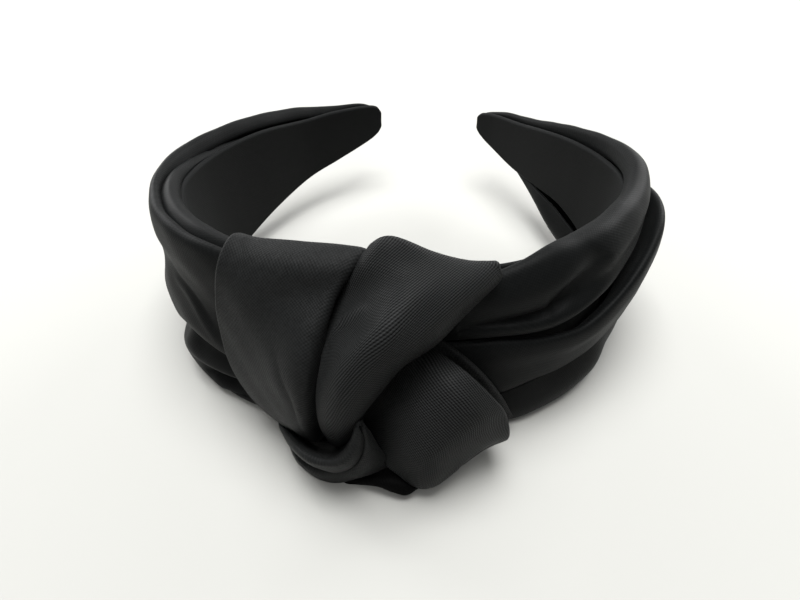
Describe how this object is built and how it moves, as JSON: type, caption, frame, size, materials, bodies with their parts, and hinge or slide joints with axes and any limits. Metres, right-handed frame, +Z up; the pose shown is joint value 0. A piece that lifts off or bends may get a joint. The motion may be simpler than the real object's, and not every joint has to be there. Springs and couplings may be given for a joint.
{
  "type": "knotted wide headband",
  "caption": "Wide stiff headband in folded dark satin, an open hoop that tapers to rounded tips, with a large off-centre knot, lying on its side edge.",
  "frame": {"origin": "centre of the outline seen from above, on the surface that the headband lies on", "axes": "+Z up, across the width of the band; +Y from the knot towards the two open tips; +X towards the side of the broad fold"},
  "size_m": [0.1476, 0.1571, 0.0639],
  "materials": {
    "satin": "charcoal-black polyester satin with a fine diagonal weave and a soft sheen on the fold edges",
    "knot_satin": "the same satin laid double, with a fine diagonal weave and a soft sheen",
    "lining": "smooth charcoal-black satin glued flat over the stiff core"
  },
  "bodies": {
    "root": {"lined_hoop": "lining", "left_inner_roll": "satin", "left_outer_fold": "satin", "left_lower_fold": "satin", "right_broad_fold": "satin", "right_outer_fold": "satin", "right_lower_fold": "satin", "knot_left_panel": "knot_satin", "knot_crossing_band": "knot_satin", "knot_lower_panel": "knot_satin", "knot_backing_fold": "knot_satin", "knot_collar_roll": "knot_satin", "knot_under_strand": "knot_satin", "knot_tuck": "knot_satin"}
  },
  "joints": []
}
